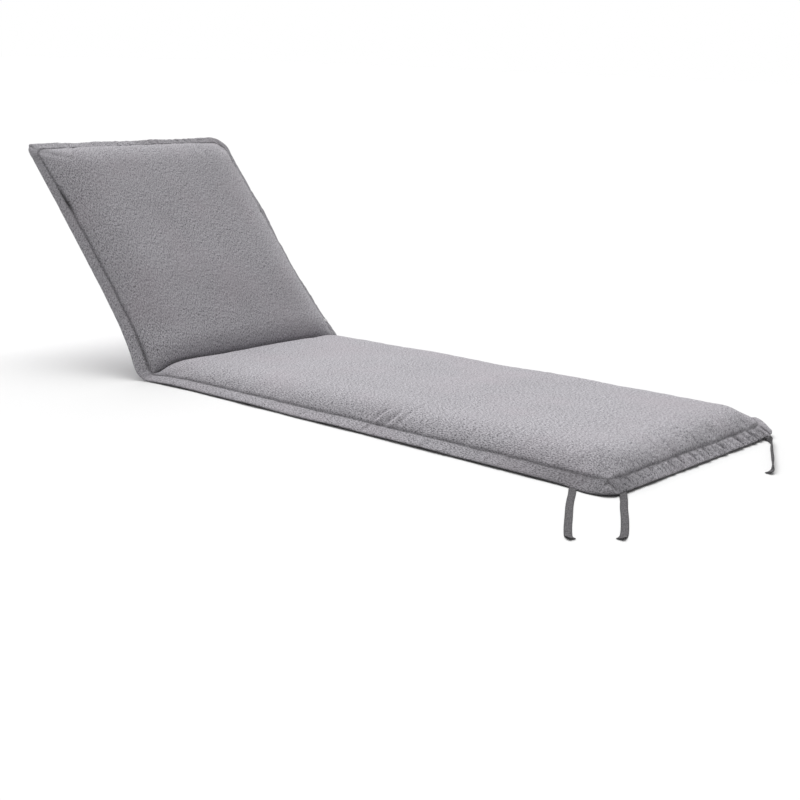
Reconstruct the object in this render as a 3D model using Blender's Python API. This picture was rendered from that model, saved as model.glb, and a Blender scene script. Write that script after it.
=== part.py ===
"""Seat and back cushion of a garden lounger, with its ties and label.

One long filled cushion is bent where its cross channel is sewn: the seat lies flat
and the back rises from it. A flat hem runs round the outside of the seam.

Metres, +Z up. The origin is the middle of the seat's underside. +X runs to the foot
end, the back rises towards -X, and +Y is the far long side.

Places on the cushion are given by three numbers:
  run     distance along the underside, 0 in the middle of the bend, + to the foot
  across  distance from the long middle line, + to the far side
  height  distance above the underside
"""

import math

import bpy
from mathutils import Vector

# Driving dimensions of the cushion
WIDTH = 0.600
SEAT_LENGTH = 1.174
BACK_LENGTH = 0.624
BACK_ANGLE = math.radians(48.75)
BEND_RADIUS = 0.045

# Hem, outside the seam
HEM_WIDTH = 0.022
HEM_THICKNESS = 0.0034
HEM_EDGE_HEIGHT = 0.0030
HEM_WAVE_HEIGHT = 0.0016
HEM_WAVE_PLAN = 0.0018

# Corner radii, of the hem's free edge and of the seam
HEAD_NEAR_RADII = (0.018, 0.020)
HEAD_FAR_RADII = (0.044, 0.036)
FOOT_NEAR_RADII = (0.026, 0.044)
FOOT_FAR_RADII = (0.042, 0.036)
CORNER_FADE = 0.090

# The folded cloth spreads to both sides at the bend
BEND_SPREAD = 0.0105
BEND_SPREAD_MIDDLE = -0.020
BEND_SPREAD_REACH = 0.080

# Where the hem's free edge stands out, curls up or hangs lower than its usual line.
# (run, side of the cushion, how far along it reaches, outwards, upwards)
HEM_SHAPES = (
    (-0.030, -1, 0.080, 0.0010, -0.0012),
    (-0.022, -1, 0.028, 0.0045, 0.0000),
    (-0.010, 1, 0.080, 0.0005, -0.0012),
    (-0.230, 1, 0.050, -0.0040, -0.0010),
    (-0.390, 1, 0.050, 0.0030, 0.0010),
    (0.450, -1, 0.060, 0.0015, -0.0010),
    (0.800, 1, 0.080, 0.0020, 0.0030),
    (1.120, -1, 0.034, 0.0070, -0.0020),
    (1.118, 1, 0.034, 0.0010, 0.0150),
    (1.170, 1, 0.070, -0.0020, 0.0040),
)

# Seam, and the filled pads inside it
SEAM_THICKNESS = 0.0026
SEAM_HEIGHT_ON_BACK = 0.0142
SEAM_HEIGHT_AT_FOOT = 0.0218
SEAM_DIP = 0.0045
SEAM_DIP_REACH = 0.035
SEAM_FOLLOWS = 0.6
BACK_HEIGHT = 0.0515
SEAT_HEIGHT_AT_BEND = 0.0404
SEAT_HEIGHT_AT_FOOT = 0.0604
CROWN = 0.0070
CROWN_UNEVEN = 0.0018
CROWN_UNEVEN_REACH = 0.15
SHOULDER_ON_BACK = 0.122
SHOULDER_ON_SEAT = 0.088
SHOULDER_BLEND = 0.080
SHOULDER_POWER = 3.0
UNDERSIDE_SHOULDER = 0.034
DRAWN_IN = 0.004

# Towards the back's near top corner the seam stands closer to the hem's free edge
SEAM_DRIFT = 0.0110
SEAM_DRIFT_REACH = 0.20
SEAM_DRIFT_FADE = 0.10

# Slow waves that make the hem and the crown uneven, in radians per metre.
# (along the run, across, share of the whole)
HEM_WAVES = (
    (29.0, 4.0, 0.32),
    (53.0, 9.0, 0.20),
    (2.0, 41.0, 0.32),
    (5.0, 67.0, 0.16),
)
CROWN_WAVES = (
    (12.0, 21.0, 0.5),
    (22.0, -5.0, 0.5),
)

# Sewn channel across the bend
CHANNEL_TOP = 0.0075
CHANNEL_THICKNESS = 0.0030
CHANNEL_SHOULDER = 0.070
CHANNEL_POWER = 2.0
CHANNEL_UNDERSIDE = 0.014

# Grid lines: distances in from an outer edge, and to each side of the bend
EDGE_LINES = (0.0, 0.0110, HEM_WIDTH, 0.0255, 0.0315, 0.0410, 0.0560, 0.0780, 0.1100)
BEND_LINES = (0.0, 0.003, 0.008, 0.014, 0.020, 0.028, 0.040, 0.060, 0.085)
GRID_ALONG = 0.029
GRID_ACROSS = 0.044

# Tie tapes
TIE_WIDTH = 0.013
TIE_THICKNESS = 0.0014
TIE_CLEARANCE = 0.0012
TIE_SECTIONS = 28
FLOOR_CLEARANCE = 0.0002

# How a tie comes down from the hem's free edge to the first point of its route.
# (share of the way out, share of the shift along the edge, share of the drop)
TIE_DROP = (
    (0.0, 0.0, 0.0),
    (0.25, 0.25, 0.25),
    (0.55, 0.55, 0.70),
)

# Shares of a tie's length: where it starts to lean, and how soon it leans and lies again
LEAN_FROM = 0.08
LEAN_IN = 0.14
LEAN_OUT = 0.34

# Where each tie leaves the hem: the distance from the seat's foot end for a tie on a
# long side, or from the middle line for a tie on the foot end.
# name: (edge, place along the edge, most that the tape leans over on one edge,
#        route on the floor)
# A route row is (distance out from the edge, shift along the edge).
TIES = {
    "tie_near_side": ("near", 0.075, 0.0, (
        (0.030, 0.015), (0.056, 0.030), (0.089, 0.050), (0.134, 0.079),
        (0.176, 0.106), (0.208, 0.128), (0.2185, 0.138), (0.2210, 0.145))),
    "tie_near_end": ("foot", -0.270, 0.0, (
        (0.022, -0.030), (0.040, -0.059), (0.069, -0.103), (0.096, -0.146),
        (0.114, -0.177), (0.120, -0.193), (0.1205, -0.200))),
    "tie_far_end": ("foot", 0.247, 80.0, (
        (0.024, -0.028), (0.037, -0.055), (0.055, -0.089), (0.073, -0.123),
        (0.093, -0.160), (0.108, -0.194), (0.113, -0.209), (0.1125, -0.218))),
    "tie_far_side": ("far", 0.083, 0.0, (
        (0.030, -0.030), (0.044, -0.070), (0.047, -0.115), (0.042, -0.160),
        (0.042, -0.195), (0.051, -0.220), (0.064, -0.229))),
}

# Blank label, on the hem of the back's far side
LABEL_RUN = -0.062
LABEL_WIDTH = 0.008
LABEL_LENGTH = 0.018
LABEL_THICKNESS = 0.0009
LABEL_CLEARANCE = 0.0009
LABEL_INSET = 0.0015

# Linear RGB colour and roughness of each material
FABRIC_FINISH = ((0.335, 0.322, 0.345), 0.92)
TAPE_FINISH = ((0.140, 0.135, 0.142), 0.85)
LABEL_FINISH = ((0.620, 0.615, 0.620), 0.70)
SHARP_EDGE = math.radians(50.0)

BEND_HALF = BEND_RADIUS * BACK_ANGLE / 2.0
BEND_TANGENT = BEND_RADIUS * math.tan(BACK_ANGLE / 2.0)
SEAT_RUN = SEAT_LENGTH - BEND_TANGENT + BEND_HALF
BACK_RUN = BACK_LENGTH - BEND_TANGENT + BEND_HALF
HALF_WIDTH = WIDTH / 2.0


def clear_scene():
    for obj in list(bpy.data.objects):
        bpy.data.objects.remove(obj, do_unlink=True)


def material(name, finish):
    colour, roughness = finish
    mat = bpy.data.materials.new(name)
    mat.use_nodes = True
    shader = mat.node_tree.nodes["Principled BSDF"]
    shader.inputs["Base Color"].default_value = (*colour, 1.0)
    shader.inputs["Roughness"].default_value = roughness
    shader.inputs["Metallic"].default_value = 0.0
    return mat


def rise(distance, reach, power):
    """Go from 0 at the seam to 1 at reach, steep at first and level at the end."""
    share = min(max(distance / reach, 0.0), 1.0)
    return (1.0 - (1.0 - share) ** power) ** (1.0 / power)


def swell(distance, run):
    """How full a pad is at a distance in from its seam, from 0 to 1. The back's is softer."""
    on_back = min(max(-run / SHOULDER_BLEND, 0.0), 1.0)
    reach = SHOULDER_ON_SEAT + (SHOULDER_ON_BACK - SHOULDER_ON_SEAT) * on_back
    share = min(max(distance / reach, 0.0), 1.0)
    return 1.0 - (1.0 - share) ** SHOULDER_POWER


def place(run, across, height):
    """Turn run, across and height into a point of the part."""
    turn = min(max((BEND_HALF - run) / BEND_RADIUS, 0.0), BACK_ANGLE)
    beyond = run - BEND_HALF if run > BEND_HALF else min(run + BEND_HALF, 0.0)
    lift = BEND_RADIUS - height
    x = BEND_TANGENT - lift * math.sin(turn) + beyond * math.cos(turn)
    z = BEND_RADIUS - lift * math.cos(turn) - beyond * math.sin(turn)
    return Vector((x - SEAT_LENGTH / 2.0, across, z))


def edge_distances(run, across):
    """Distance in from the nearer end and from the nearer long side."""
    end = SEAT_RUN - run if run > 0.0 else BACK_RUN + run
    return end, HALF_WIDTH - abs(across)


def waves(rows, run, across):
    return sum(share * math.sin(a * run + b * across) for a, b, share in rows)


def hem_wave(run, across):
    """Slow unevenness of the hem, from -1 to 1, different along every edge."""
    return waves(HEM_WAVES, run, across)


def hem_shape(run, across):
    """How far the hem's free edge stands out and up at one place."""
    out = 0.0
    up = 0.0
    for middle, side, reach, most_out, most_up in HEM_SHAPES:
        beside = (across - side * HALF_WIDTH) / reach
        share = math.exp(-(((run - middle) / reach) ** 2) - beside ** 2)
        out += most_out * share
        up += most_up * share
    return out, up


def corner_radius(run, across, inward):
    """Radius of the corner that a line at this distance in from the edge goes round."""
    if run > 0.0:
        edge, seam = FOOT_FAR_RADII if across > 0.0 else FOOT_NEAR_RADII
    else:
        edge, seam = HEAD_FAR_RADII if across > 0.0 else HEAD_NEAR_RADII
    if inward < HEM_WIDTH:
        return edge + (seam - edge) * inward / HEM_WIDTH
    return seam * max(0.0, 1.0 - (inward - HEM_WIDTH) / CORNER_FADE)


def round_corner(run, across):
    """Move a point near a corner of the cushion onto the arc that goes round it there."""
    end, side = edge_distances(run, across)
    inward = min(end, side)
    radius = corner_radius(run, across, inward)
    if max(end, side) - inward >= radius:
        return run, across
    u = 1.0 - (end - inward) / radius
    v = 1.0 - (side - inward) / radius
    end_shift = radius * u * (1.0 - math.sqrt(1.0 - v * v / 2.0))
    side_shift = radius * v * (1.0 - math.sqrt(1.0 - u * u / 2.0))
    return run - math.copysign(end_shift, run), across - math.copysign(side_shift, across)


def seam_drift(run, across, side):
    """How far the cloth beside the near seam stands outwards, most at the top of the back."""
    if across > 0.0:
        return 0.0
    share = min(side / HEM_WIDTH, 1.0 - (side - HEM_WIDTH) / SEAM_DRIFT_FADE)
    return SEAM_DRIFT * max(0.0, share) * math.exp(-(((run + BACK_RUN) / SEAM_DRIFT_REACH) ** 2))


def plan(run, across):
    """Plan outline: rounded corners, long sides drawn in, wider at the bend, uneven hem."""
    end, side = edge_distances(run, across)
    length = SEAT_RUN if run > 0.0 else BACK_RUN
    along = min(max(end / length, 0.0), 1.0)
    pull = DRAWN_IN * math.sin(math.pi * along)
    pull -= BEND_SPREAD * math.exp(-(((run - BEND_SPREAD_MIDDLE) / BEND_SPREAD_REACH) ** 2))
    pull *= abs(across) / HALF_WIDTH
    wave = HEM_WAVE_PLAN * hem_wave(run, across)
    out = wave + hem_shape(run, across)[0]
    side_out = out * max(0.0, 1.0 - side / HEM_WIDTH) - pull + seam_drift(run, across, side)
    end_out = wave * max(0.0, 1.0 - end / HEM_WIDTH)
    run, across = round_corner(run, across)
    run += end_out * math.copysign(1.0, run)
    across += side_out * math.copysign(1.0, across)
    return run, across


def seam_height(run, across):
    """Middle of the seam above the underside. It dips at the channel and follows the hem's curls."""
    share = max(run, 0.0) / SEAT_RUN
    height = SEAM_HEIGHT_ON_BACK + (SEAM_HEIGHT_AT_FOOT - SEAM_HEIGHT_ON_BACK) * share
    height -= SEAM_DIP * math.exp(-((run / SEAM_DIP_REACH) ** 2))
    return height + SEAM_FOLLOWS * hem_shape(run, across)[1]


def hem_middle(run, across, inward):
    """Middle of the hem, drooping from the seam to its free edge."""
    share = inward / HEM_WIDTH
    edge = HEM_EDGE_HEIGHT + HEM_WAVE_HEIGHT * (1.0 + hem_wave(run, across))
    edge += hem_shape(run, across)[1]
    return edge + (seam_height(run, across) - edge) * share


def pad_height(run):
    """Height of the pads before their crown. The seat fills out towards its foot."""
    if run < 0.0:
        return BACK_HEIGHT
    share = run / SEAT_RUN
    return SEAT_HEIGHT_AT_BEND + (SEAT_HEIGHT_AT_FOOT - SEAT_HEIGHT_AT_BEND) * share


def crown_height(run, across):
    """Full height of the pads: highest along the middle, a little uneven."""
    end, side = edge_distances(run, across)
    length = SEAT_RUN if run > 0.0 else BACK_RUN
    arch = math.sin(math.pi * min(max(end / length, 0.0), 1.0))
    dome = (1.0 - (across / HALF_WIDTH) ** 2) * arch
    uneven = CROWN_UNEVEN * rise(side, CROWN_UNEVEN_REACH, 2.0) * waves(CROWN_WAVES, run, across)
    return pad_height(run) + CROWN * dome + uneven


def skins(run, across):
    """Heights of the upper and the lower skin."""
    end, side = edge_distances(run, across)
    inward = min(end, side)
    middle = seam_height(run, across)
    if inward <= HEM_WIDTH:
        half = HEM_THICKNESS / 2.0
        half += (SEAM_THICKNESS - HEM_THICKNESS) / 2.0 * (inward / HEM_WIDTH) ** 4
        middle = hem_middle(run, across, inward)
        return middle + half, middle - half

    filled = swell(side - HEM_WIDTH, run) * swell(end - HEM_WIDTH, max(run, 0.0))
    channel = rise(abs(run), CHANNEL_SHOULDER, CHANNEL_POWER)
    low = middle + SEAM_THICKNESS / 2.0
    low += (CHANNEL_TOP - low) * filled * (1.0 - channel)
    top = low + (crown_height(run, across) - low) * filled * channel

    flat = rise(inward - HEM_WIDTH, UNDERSIDE_SHOULDER, 2.0)
    flat_channel = rise(abs(run), CHANNEL_UNDERSIDE, 2.0)
    raised = (CHANNEL_TOP - CHANNEL_THICKNESS) * (1.0 - flat_channel)
    bottom = (middle - SEAM_THICKNESS / 2.0) * (1.0 - flat) + raised * flat
    return top, bottom


def between(start, stop, spacing):
    """Evenly spaced values strictly between start and stop."""
    count = max(1, round(abs(stop - start) / spacing))
    return [start + (stop - start) * i / count for i in range(1, count)]


def grid_lines_across():
    near = [-HALF_WIDTH + inward for inward in EDGE_LINES]
    far = [-value for value in reversed(near)]
    return near + between(near[-1], far[0], GRID_ACROSS) + far


def grid_lines_along():
    head = [-BACK_RUN + inward for inward in EDGE_LINES]
    foot = [SEAT_RUN - inward for inward in reversed(EDGE_LINES)]
    bend = [-line for line in reversed(BEND_LINES[1:])] + list(BEND_LINES)
    back = between(head[-1], bend[0], GRID_ALONG)
    seat = between(bend[-1], foot[0], GRID_ALONG)
    return head + back + bend + seat + foot


def cushion(fabric):
    """The filled cushion: an upper and a lower skin on one grid, joined at the rim."""
    along = grid_lines_along()
    across = grid_lines_across()
    columns = len(across)
    count = len(along) * columns
    upper = []
    lower = []
    for run in along:
        for offset in across:
            top, bottom = skins(run, offset)
            spot = plan(run, offset)
            upper.append(place(*spot, top))
            lower.append(place(*spot, bottom))

    faces = []
    for row in range(len(along) - 1):
        for column in range(columns - 1):
            a = row * columns + column
            b = a + columns
            faces.append((a, b, b + 1, a + 1))
            faces.append((count + a, count + a + 1, count + b + 1, count + b))

    rim = list(range(columns))
    rim += [row * columns + columns - 1 for row in range(1, len(along))]
    rim += [count - 1 - column for column in range(1, columns)]
    rim += [row * columns for row in range(len(along) - 2, 0, -1)]
    for a, b in zip(rim, rim[1:] + rim[:1]):
        faces.append((a, b, count + b, count + a))
    return mesh_object("cushion", upper + lower, faces, fabric)


def mesh_object(name, points, faces, mat):
    mesh = bpy.data.meshes.new(name)
    mesh.from_pydata(points, [], faces)
    mesh.materials.append(mat)
    mesh.validate()
    mesh.shade_smooth()
    mesh.set_sharp_from_angle(angle=SHARP_EDGE)
    obj = bpy.data.objects.new(name, mesh)
    bpy.context.scene.collection.objects.link(obj)
    return obj


def smooth_curve(points, sections):
    """Points along a smooth curve through the given ones, evenly numbered."""
    padded = [points[0] * 2 - points[1]] + list(points) + [points[-1] * 2 - points[-2]]
    spans = len(points) - 1
    result = []
    for i in range(sections):
        place_on = spans * i / (sections - 1)
        span = min(int(place_on), spans - 1)
        t = place_on - span
        p0, p1, p2, p3 = padded[span:span + 4]
        bend = p0 * 2 - p1 * 5 + p2 * 4 - p3
        twist = p1 * 3 - p0 - p2 * 3 + p3
        result.append((p1 * 2 + (p2 - p0) * t + bend * t ** 2 + twist * t ** 3) / 2)
    return result


def ribbon(name, centres, sides, width, thickness, mat):
    """A flat tape: a four-cornered section carried along its middle line.

    sides point across it, and are longer than 1 where its section is cut on a slant.
    """
    points = []
    for i, centre in enumerate(centres):
        ahead = centres[min(i + 1, len(centres) - 1)] - centres[max(i - 1, 0)]
        normal = ahead.cross(sides[i]).normalized()
        half_side = sides[i] * width / 2.0
        half_normal = normal * thickness / 2.0
        points.append(centre - half_side - half_normal)
        points.append(centre + half_side - half_normal)
        points.append(centre + half_side + half_normal)
        points.append(centre - half_side + half_normal)

    faces = [(3, 2, 1, 0)]
    for i in range(len(centres) - 1):
        a = 4 * i
        for k in range(4):
            n = (k + 1) % 4
            faces.append((a + k, a + n, a + 4 + n, a + 4 + k))
    last = 4 * (len(centres) - 1)
    faces.append((last, last + 1, last + 2, last + 3))
    return mesh_object(name, points, faces, mat)


def edge_spot(edge, along, out, shift):
    """Plan place beside an edge: out is outwards from it, shift is along it."""
    if edge == "foot":
        return SEAT_RUN + out, along + shift
    side = 1.0 if edge == "far" else -1.0
    return SEAT_RUN - along + shift, side * (HALF_WIDTH + out)


def hem_edge_at(edge, along):
    """How far the hem's free edge stands out beside a tape that leaves it there."""
    outs = []
    for beside in (-TIE_WIDTH / 2.0, 0.0, TIE_WIDTH / 2.0):
        run, across = plan(*edge_spot(edge, along, 0.0, beside))
        outs.append(run - SEAT_RUN if edge == "foot" else abs(across) - HALF_WIDTH)
    return max(outs)


def tie(name, edge, along, lean, route, tape):
    """A tape from the hem's free edge, down to the floor, where it lies."""
    start = hem_edge_at(edge, along) + TIE_CLEARANCE
    level = TIE_THICKNESS / 2.0 + FLOOR_CLEARANCE
    drop = hem_middle(*edge_spot(edge, along, 0.0, 0.0), 0.0) - level
    points = []
    for out_share, shift_share, drop_share in TIE_DROP:
        out = start + (route[0][0] - start) * out_share
        run, across = edge_spot(edge, along, out, route[0][1] * shift_share)
        points.append(place(run, across, level + drop * (1.0 - drop_share)))
    for out, shift in route:
        run, across = edge_spot(edge, along, out, shift)
        points.append(place(run, across, level))

    centres = smooth_curve(points, TIE_SECTIONS)
    hem_spot = place(*edge_spot(edge, along, start, 0.0), 0.0)
    hem_way = place(*edge_spot(edge, along, start, 0.01), 0.0) - hem_spot
    hem_way.normalize()
    outward = Vector((hem_way.y, -hem_way.x, 0.0))
    sides = []
    for i, centre in enumerate(centres):
        share = i / (TIE_SECTIONS - 1)
        leaning = rise(share - LEAN_FROM, LEAN_IN, 2.0) * rise(1.0 - share, LEAN_OUT, 2.0)
        tilt = math.radians(lean) * leaning
        centre.z = max(centre.z, level + TIE_WIDTH / 2.0 * math.sin(tilt))
        ahead = centres[min(i + 1, TIE_SECTIONS - 1)] - centres[max(i - 1, 0)]
        square = Vector((-ahead.y, ahead.x, 0.0)).normalized()
        along_hem = hem_way if hem_way.dot(square) > 0.0 else -hem_way
        beside_hem = max(0.0, 1.0 - abs((centre - hem_spot).dot(outward)) / TIE_WIDTH)
        level_side = (square + (along_hem - square) * beside_hem).normalized()
        level_side /= level_side.dot(square)
        sides.append(level_side * math.cos(tilt) + Vector((0.0, 0.0, math.sin(tilt))))
    return ribbon(name, centres, sides, TIE_WIDTH, TIE_THICKNESS, tape)


def label(paper):
    """A small blank strip of tape on the far hem of the back."""
    centres = []
    for share in (0.0, 0.33, 0.67, 1.0):
        inward = HEM_WIDTH - LABEL_INSET - LABEL_LENGTH * share
        top = skins(LABEL_RUN, HALF_WIDTH - inward)[0]
        spot = plan(LABEL_RUN, HALF_WIDTH - inward)
        centres.append(place(*spot, top + LABEL_CLEARANCE + LABEL_THICKNESS / 2.0))
    along_back = place(LABEL_RUN, 0.0, 0.0) - place(LABEL_RUN - LABEL_WIDTH, 0.0, 0.0)
    sides = [along_back.normalized()] * len(centres)
    return ribbon("label", centres, sides, LABEL_WIDTH, LABEL_THICKNESS, paper)


def main():
    clear_scene()
    fabric = material("fabric", FABRIC_FINISH)
    tape = material("tape", TAPE_FINISH)
    paper = material("label_tape", LABEL_FINISH)
    cushion(fabric)
    for name, (edge, along, lean, route) in TIES.items():
        tie(name, edge, along, lean, route, tape)
    label(paper)


main()
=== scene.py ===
"""Looks of the seat and back cushion: its cloth surface, seams, ties and label, with a
plain pale floor, soft studio light and a camera.

Places on the cushion are given by three numbers, as in the part's own source:
  run     distance along the underside, 0 in the middle of the bend, + to the foot
  across  distance from the long middle line, + to the far side
  height  distance above the underside
All sizes are in metres.
"""

import math

import bpy
import numpy as np
from mathutils import Matrix, Vector


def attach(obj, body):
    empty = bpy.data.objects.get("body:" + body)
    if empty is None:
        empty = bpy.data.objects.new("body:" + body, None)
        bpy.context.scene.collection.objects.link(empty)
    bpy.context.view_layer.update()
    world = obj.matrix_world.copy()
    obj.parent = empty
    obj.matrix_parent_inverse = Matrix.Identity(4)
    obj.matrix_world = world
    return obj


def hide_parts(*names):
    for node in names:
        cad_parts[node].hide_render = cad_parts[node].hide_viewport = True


# Driving dimensions of the cushion
WIDTH = 0.600
SEAT_LENGTH = 1.174
BACK_LENGTH = 0.624
BACK_ANGLE = math.radians(48.75)
BEND_RADIUS = 0.045

# Hem, outside the seam
HEM_WIDTH = 0.022
HEM_THICKNESS = 0.0034
HEM_EDGE_HEIGHT = 0.0024
HEM_WAVE_HEIGHT = 0.0016
HEM_WAVE_PLAN = 0.0018
HEM_EDGE_ROUND = 0.0018
HEM_FOLD_WIDTH = 0.0098
HEM_FOLD_STEP = 0.00035
HEM_FOLD_BLEND = 0.0024

# Corner radii, of the hem's free edge and of the seam
HEAD_NEAR_RADII = (0.025, 0.020)
HEAD_FAR_RADII = (0.044, 0.036)
FOOT_NEAR_RADII = (0.026, 0.044)
FOOT_FAR_RADII = (0.042, 0.036)
CORNER_FADE = 0.090

# The folded cloth spreads to both sides at the bend
BEND_SPREAD = 0.0105
BEND_SPREAD_MIDDLE = -0.020
BEND_SPREAD_REACH = 0.080

# Where the hem's free edge stands out, curls up or hangs lower than its usual line.
# (run, side of the cushion, how far along it reaches, outwards, upwards)
HEM_SHAPES = (
    (-0.030, -1, 0.080, 0.0010, -0.0012),
    (-0.022, -1, 0.028, 0.0045, 0.0000),
    (-0.010, 1, 0.080, 0.0005, -0.0012),
    (-0.230, 1, 0.050, -0.0040, -0.0010),
    (-0.390, 1, 0.050, 0.0030, 0.0010),
    (0.450, -1, 0.060, 0.0015, -0.0010),
    (0.800, 1, 0.080, 0.0020, 0.0030),
    (1.120, -1, 0.034, 0.0070, -0.0020),
    (1.118, 1, 0.034, 0.0010, 0.0150),
    (1.170, 1, 0.070, -0.0020, 0.0040),
)

# Seam, and the filled pads inside it
SEAM_THICKNESS = 0.0026
SEAM_HEIGHT_ON_BACK = 0.0142
SEAM_HEIGHT_AT_FOOT = 0.0218
SEAM_DIP = 0.0045
SEAM_DIP_REACH = 0.035
SEAM_FOLLOWS = 0.6
BACK_HEIGHT = 0.0515
SEAT_HEIGHT_AT_BEND = 0.0404
SEAT_HEIGHT_AT_FOOT = 0.0604
CROWN = 0.0070
CROWN_UNEVEN = 0.0018
CROWN_UNEVEN_REACH = 0.15
SHOULDER_ON_BACK = 0.122
SHOULDER_ON_SEAT = 0.088
SHOULDER_BLEND = 0.080
SHOULDER_POWER = 3.0
UNDERSIDE_SHOULDER = 0.034
DRAWN_IN = 0.004

# Towards the back's near top corner the seam stands closer to the hem's free edge
SEAM_DRIFT = 0.0110
SEAM_DRIFT_REACH = 0.20
SEAM_DRIFT_FADE = 0.10

# Slow waves that make the hem and the crown uneven, in radians per metre.
# (along the run, across, share of the whole)
HEM_WAVES = (
    (29.0, 4.0, 0.32),
    (53.0, 9.0, 0.20),
    (2.0, 41.0, 0.32),
    (5.0, 67.0, 0.16),
)
CROWN_WAVES = (
    (12.0, 21.0, 0.5),
    (22.0, -5.0, 0.5),
)

# Sewn channel across the bend
CHANNEL_TOP = 0.0075
CHANNEL_THICKNESS = 0.0030
CHANNEL_SHOULDER = 0.070
CHANNEL_UNDERSIDE = 0.014

# Grid lines of the fine surface: distances in from an outer edge, and from the bend.
# Between two runs of the seat, where it is creased, they are closer.
EDGE_LINES = (
    0.0, 0.0005, 0.0012, 0.0024, 0.0041, 0.0060, 0.0077, 0.0092, 0.0105, 0.0122, 0.0142,
    0.0162, 0.0180, 0.0195, 0.0206, 0.0213, HEM_WIDTH, 0.0226, 0.0235, 0.0249, 0.0268,
    0.0293, 0.0324, 0.0360, 0.0400, 0.0445, 0.0495, 0.0550, 0.0610, 0.0675, 0.0745,
)
BEND_LINES = (
    0.0, 0.0012, 0.0030, 0.0052, 0.0078, 0.0108, 0.0142, 0.0180, 0.0222, 0.0268, 0.0318,
    0.0372, 0.0430, 0.0490, 0.0550, 0.0610, 0.0670, 0.0730,
)
GRID_ALONG = 0.0070
GRID_ACROSS = 0.0024
FINE_FROM = 0.600
FINE_TO = 0.710
GRID_FINE = 0.0030
UNDERSIDE_STEP_BACK = 2
UNDERSIDE_STEP_SEAT = 4
UNDERSIDE_STEP_ACROSS = 3

# Painted shade where the filled pad stands open beside its seam: (run, side, how far along, how dark)
SEAM_GAP_INWARD = 0.0020
SEAM_GAP_WIDTH = 0.0045
SEAM_GAP_SHADE = (
    (-0.455, -1, 0.030, 1.1),
    (-0.060, -1, 0.035, 0.7),
    (-0.425, 1, 0.035, 1.2),
    (-0.560, 1, 0.080, 0.6),
    (-0.130, 1, 0.070, 0.6),
)

# Groove that the stitches draw into the cloth along the seam, the width of its darker line
# (painted shade in the groove), its wander (height, periods and seed) and the ripples beside it
GROOVE_WIDTH = 0.0024
GROOVE_DEPTH = 0.0016
SEAM_SHADE_WIDTH = 0.0026
SEAM_WANDER = (0.0016, 0.021, 0.021, 5)
SEAM_WANDER_REACH = 0.011
RIPPLE_REACH = 0.055
HEM_RIPPLES = 1.7
# Painted shade on the hem of the back's far side, beside the pad
FAR_HEM_SHADE = 0.55

# Painted shade: the hem is darker towards the near foot corner: how dark, and its reach both ways
CORNER_SHADE = 1.2
CORNER_SHADE_ALONG = 0.24
CORNER_SHADE_ACROSS = 0.13

# Settling of the filled cover: cloth that is cut a little full, held by its seams
SETTLE_GRID = 0.008
SETTLE_FRAMES = 16
SETTLE_PRESSURE = 1.0
SETTLE_FULLNESS = 0.03
SETTLE_STIFFNESS = 10.0
SETTLE_BENDING = 2.0
SETTLE_PINS = 3.0
SETTLE_HOLD = 0.2
SETTLE_HOLD_REACH = 0.05
SETTLE_SEWN_AT_SEAM = 0.001
SETTLE_SEWN_AT_BEND = 0.006
SETTLE_FROM_BEND = 0.010
SETTLE_FADE_AT_BEND = 0.050
SETTLE_CAP = 0.0035
SETTLE_REACH = 0.095
SETTLE_INSIDE = 0.10
SETTLE_LONG_SIDES = 0.42
SETTLE_ENDS = 0.75

# The rear skin swells less than the upper one, and only away from the bend
REAR_SHARE = 0.6
REAR_FROM = 0.06
REAR_FADE = 0.03

# How soon small forms fade in from the seam into the pad and the hem, and from the bend
PAD_FADE = 0.020
HEM_FADE = 0.003
BEND_PLAIN = 0.002

# Unevenness of the pads, of their rim and of the hem.
# (height, period along the run, period across, seed)
PAD_UNEVEN = (
    (0.0012, 0.11, 0.09, 1),
    (0.0005, 0.045, 0.035, 2),
)
RIM_UNEVEN = (0.0006, 0.022, 0.020, 3)
RIM_REACH = 0.070
HEM_UNEVEN = (0.0006, 0.022, 0.018, 4)

# A crease fades in and out over shares of its length. The ridge beside its trough is
# placed and sized in widths of the trough, and raised by a share of its depth.
CREASE_FADE_IN = 0.18
CREASE_FADE_OUT = 0.45
RIDGE_BESIDE = 2.0
RIDGE_WIDTH = 1.3
RIDGE_SHARE = 0.5

# Creases in the pads, placed one by one on the flat cloth.
# (run and across where it starts, and where it ends, sideways bow, width, depth)
CREASES = (
    (0.620, -0.276, 0.642, -0.236, 0.002, 0.0048, 0.0036),
    (0.651, -0.276, 0.671, -0.240, 0.004, 0.0050, 0.0036),
    (0.681, -0.274, 0.692, -0.236, 0.002, 0.0050, 0.0018),
    (0.451, 0.010, 0.484, 0.102, 0.004, 0.0070, 0.0016),
    (-0.500, -0.276, -0.416, -0.275, 0.001, 0.0040, 0.0070),
    (-0.380, 0.275, -0.470, 0.276, 0.001, 0.0040, 0.0070),
)
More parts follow.
